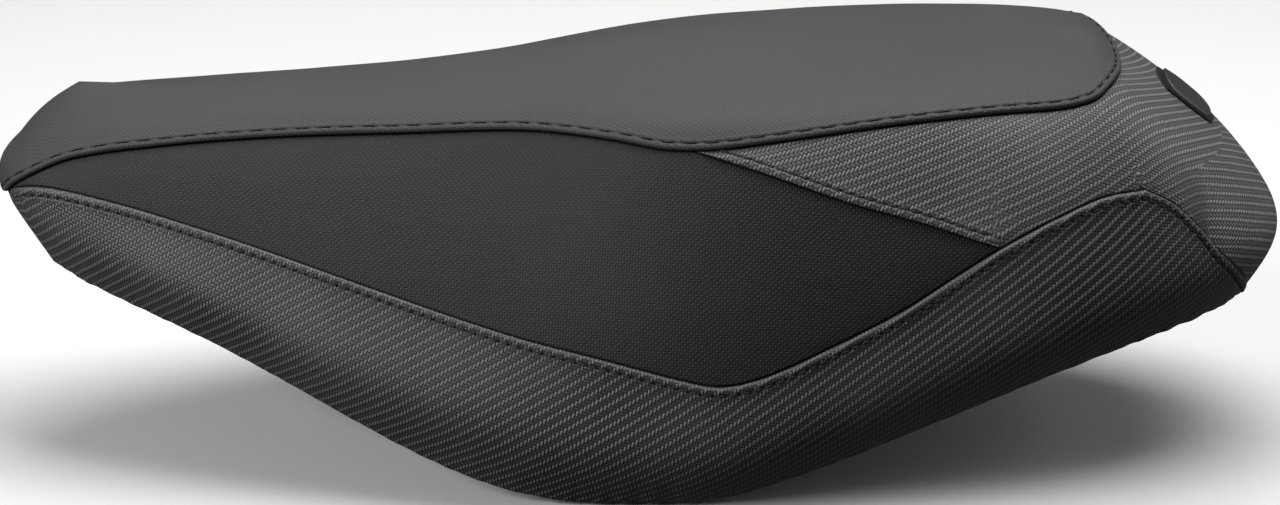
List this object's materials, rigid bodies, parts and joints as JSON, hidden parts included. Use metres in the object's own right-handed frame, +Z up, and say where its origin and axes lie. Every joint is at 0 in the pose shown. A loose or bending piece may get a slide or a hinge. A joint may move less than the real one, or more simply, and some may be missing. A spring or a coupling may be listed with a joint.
{
  "type": "motorcycle seat",
  "caption": "Two-up motorcycle seat: stitched vinyl cover over foam on a moulded pan, with a front hinge, tail latch striker and rubber bumpers.",
  "frame": {"origin": "middle of the seat's length and width, at the level of its lowest point", "axes": "+X to the tail, nose at -X, +Z up, symmetric about Y = 0"},
  "size_m": [0.6902, 0.3228, 0.2165],
  "materials": {
    "vinyl_ribbed": "matt, fine diagonal rib",
    "vinyl_woven": "matt, fine woven grain",
    "vinyl_carbon": "semi-gloss, embossed twill",
    "vinyl_plain": "satin",
    "foam": "open cell, dark grey",
    "pan_plastic": "fine grain",
    "zinc_steel": "zinc plated",
    "black_steel": "satin black",
    "chrome_trim": "bright",
    "badge_black": "gloss",
    "rubber": "matt"
  },
  "bodies": {
    "bracket": {"hinge_bracket": "black_steel", "hinge_pin": "zinc_steel", "hinge_pin_clip": "zinc_steel", "hinge_washers": "zinc_steel", "hinge_sleeve": "zinc_steel"},
    "seat": {"cover_top_panel": "vinyl_ribbed", "cover_insert_left": "vinyl_woven", "cover_insert_right": "vinyl_woven", "cover_band_left": "vinyl_carbon", "cover_band_right": "vinyl_carbon", "cover_rear_panel": "vinyl_carbon", "cover_hem": "vinyl_plain", "cover_staples": "zinc_steel", "foam_cushion": "foam", "base_pan": "pan_plastic", "hinge_leaf": "black_steel", "hinge_bolts": "zinc_steel", "hinge_backing_plate": "zinc_steel", "hinge_nuts": "zinc_steel", "latch_striker": "zinc_steel", "striker_bolts": "zinc_steel", "striker_backing_plate": "zinc_steel", "striker_nuts": "zinc_steel", "badge_backing": "badge_black", "rear_badge": "chrome_trim", "bumper_front_left": "rubber", "bumper_front_right": "rubber", "bumper_mid_left": "rubber", "bumper_mid_right": "rubber", "bumper_rear_left": "rubber", "bumper_rear_right": "rubber"}
  },
  "joints": [
    {"name": "seat_hinge", "type": "hinge", "parent": "bracket", "child": "seat", "pos_m": [-0.276, 0, 0.1], "axis": [0, -1, 0], "range_deg": [0, 75]}
  ]
}
